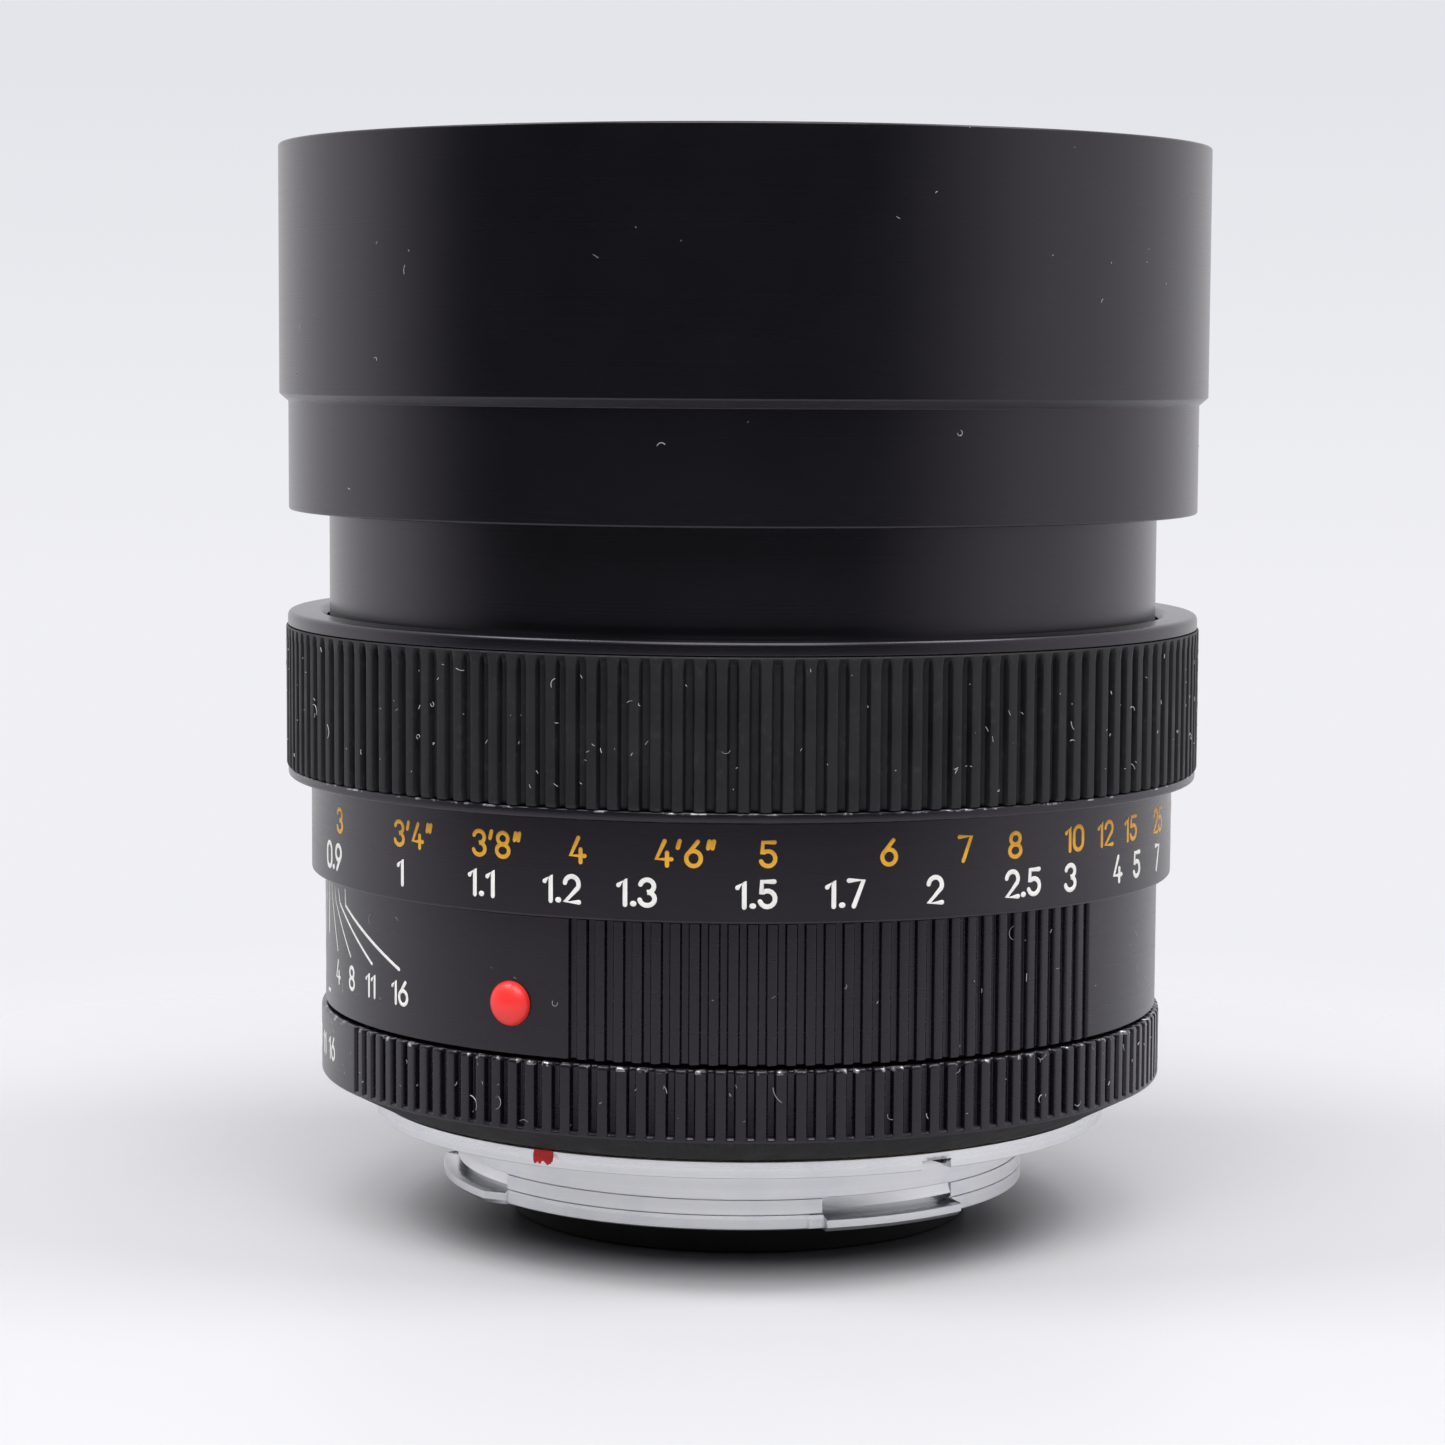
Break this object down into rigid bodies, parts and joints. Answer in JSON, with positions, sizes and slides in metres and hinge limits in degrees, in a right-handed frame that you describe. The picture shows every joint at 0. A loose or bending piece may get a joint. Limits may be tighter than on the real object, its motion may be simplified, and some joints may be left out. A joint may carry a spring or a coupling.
{
  "type": "prime camera lens",
  "caption": "Short-telephoto prime camera lens with bayonet mount, aperture ring, iris, ribbed focusing ring with distance scale, and built-in sliding hood.",
  "frame": {"origin": "on the optical axis, on the surface that the rear end stands on", "axes": "+Z along the optical axis towards the front glass; -Y faces the viewer of the focusing scale"},
  "size_m": [0.075, 0.075, 0.0864],
  "materials": {
    "black_metal": "satin black anodised",
    "matte_black": "matte black",
    "blade_steel": "blackened, dull sheen",
    "rubber": "matte, ribbed",
    "bayonet_metal": "fine turned, satin chrome",
    "brass": "machined",
    "steel": "machined",
    "glass": "polished, coated",
    "red_enamel": "glossy red",
    "felt": "felt",
    "white_paint": "white paint in engraving",
    "amber_paint": "amber paint in engraving"
  },
  "bodies": {
    "barrel": {"bayonet_mount": "bayonet_metal", "mount_screw_1": "steel", "mount_screw_2": "steel", "mount_screw_3": "steel", "mount_screw_4": "steel", "index_plug": "bayonet_metal", "mount_base": "brass", "fixed_barrel": "black_metal", "alignment_bead": "red_enamel", "rear_shroud": "matte_black", "guide_key": "brass", "click_ball": "steel", "click_spring": "steel"},
    "focus": {"focus_ring": "black_metal", "rubber_grip": "rubber", "distance_scale_ring": "black_metal", "helicoid_drive_sleeve": "brass", "set_screw_1": "steel", "set_screw_2": "steel", "set_screw_3": "steel"},
    "optics": {"front_barrel": "black_metal", "helicoid_slide_sleeve": "brass", "front_cell": "matte_black", "rear_cell": "matte_black", "lens_1": "glass", "lens_2": "glass", "lens_3": "glass", "lens_4": "glass", "lens_5": "glass", "lens_6": "glass", "lens_7": "glass", "name_bezel": "black_metal", "front_retaining_ring": "matte_black", "front_spacer_ring": "matte_black", "doublet_retaining_ring": "matte_black", "rear_spacer_ring": "matte_black", "rear_group_retaining_ring": "matte_black", "iris_base_plate": "matte_black"},
    "hood": {"hood_shell": "black_metal", "hood_felt_ring": "felt"},
    "aperture": {"aperture_ring": "black_metal", "aperture_drive_bar": "steel"},
    "iris_ring": {"iris_control_ring": "brass"},
    "stop_down": {"stop_down_ring": "steel", "stop_down_lever": "steel"},
    "iris_blade_1": {"iris_blade_1": "blade_steel"},
    "iris_blade_2": {"iris_blade_2": "blade_steel"},
    "iris_blade_3": {"iris_blade_3": "blade_steel"},
    "iris_blade_4": {"iris_blade_4": "blade_steel"},
    "iris_blade_5": {"iris_blade_5": "blade_steel"},
    "iris_blade_6": {"iris_blade_6": "blade_steel"},
    "iris_blade_7": {"iris_blade_7": "blade_steel"},
    "iris_blade_8": {"iris_blade_8": "blade_steel"}
  },
  "joints": [
    {"name": "focus_turn", "type": "hinge", "parent": "barrel", "child": "focus", "pos_m": [0, 0, 0.042], "axis": [0, 0, 1], "range_deg": [-162.6, 13.6]},
    {"name": "optics_slide", "type": "slide", "parent": "barrel", "child": "optics", "axis": [0, 0, 1], "range_m": [-0.00759, 0.00063]},
    {"name": "hood_slide", "type": "slide", "parent": "optics", "child": "hood", "axis": [0, 0, 1], "range_m": [0, 0.016]},
    {"name": "aperture_turn", "type": "hinge", "parent": "barrel", "child": "aperture", "pos_m": [0, 0, 0.0136], "axis": [0, 0, 1], "range_deg": [-5.5, 33]},
    {"name": "iris_ring_turn", "type": "hinge", "parent": "optics", "child": "iris_ring", "pos_m": [0, 0, 0.0383], "axis": [0, 0, 1], "range_deg": [-5.6, 33.1]},
    {"name": "iris_blade_1_pivot", "type": "hinge", "parent": "optics", "child": "iris_blade_1", "pos_m": [0.02599, 0.00517, 0.0352], "axis": [0, 0, 1], "range_deg": [-30.6, 5.2]},
    {"name": "iris_blade_2_pivot", "type": "hinge", "parent": "optics", "child": "iris_blade_2", "pos_m": [0.01472, 0.02203, 0.0355], "axis": [0, 0, 1], "range_deg": [-30.6, 5.2]},
    {"name": "iris_blade_3_pivot", "type": "hinge", "parent": "optics", "child": "iris_blade_3", "pos_m": [-0.00517, 0.02599, 0.0358], "axis": [0, 0, 1], "range_deg": [-30.6, 5.2]},
    {"name": "iris_blade_4_pivot", "type": "hinge", "parent": "optics", "child": "iris_blade_4", "pos_m": [-0.02203, 0.01472, 0.0361], "axis": [0, 0, 1], "range_deg": [-30.6, 5.2]},
    {"name": "iris_blade_5_pivot", "type": "hinge", "parent": "optics", "child": "iris_blade_5", "pos_m": [-0.02599, -0.00517, 0.0364], "axis": [0, 0, 1], "range_deg": [-30.6, 5.2]},
    {"name": "iris_blade_6_pivot", "type": "hinge", "parent": "optics", "child": "iris_blade_6", "pos_m": [-0.01472, -0.02203, 0.0367], "axis": [0, 0, 1], "range_deg": [-30.6, 5.2]},
    {"name": "iris_blade_7_pivot", "type": "hinge", "parent": "optics", "child": "iris_blade_7", "pos_m": [0.00517, -0.02599, 0.037], "axis": [0, 0, 1], "range_deg": [-30.6, 5.2]},
    {"name": "iris_blade_8_pivot", "type": "hinge", "parent": "optics", "child": "iris_blade_8", "pos_m": [0.02203, -0.01472, 0.0373], "axis": [0, 0, 1], "range_deg": [-30.6, 5.2]},
    {"name": "stop_down_turn", "type": "hinge", "parent": "barrel", "child": "stop_down", "pos_m": [0, 0, 0.0103], "axis": [0, 0, 1], "range_deg": [0, 20], "stiffness_Nm_per_rad": 0.02, "springref_deg": -8.59}
  ],
  "couplings": [
    {"joint": "focus_turn", "follows": "optics_slide", "rad_per_m": 373.13},
    {"joint": "iris_ring_turn", "follows": "aperture_turn", "ratio": 1},
    {"joint": "iris_blade_1_pivot", "follows": "aperture_turn", "ratio": -0.925},
    {"joint": "iris_blade_2_pivot", "follows": "aperture_turn", "ratio": -0.925},
    {"joint": "iris_blade_3_pivot", "follows": "aperture_turn", "ratio": -0.925},
    {"joint": "iris_blade_4_pivot", "follows": "aperture_turn", "ratio": -0.925},
    {"joint": "iris_blade_5_pivot", "follows": "aperture_turn", "ratio": -0.925},
    {"joint": "iris_blade_6_pivot", "follows": "aperture_turn", "ratio": -0.925},
    {"joint": "iris_blade_7_pivot", "follows": "aperture_turn", "ratio": -0.925},
    {"joint": "iris_blade_8_pivot", "follows": "aperture_turn", "ratio": -0.925}
  ]
}
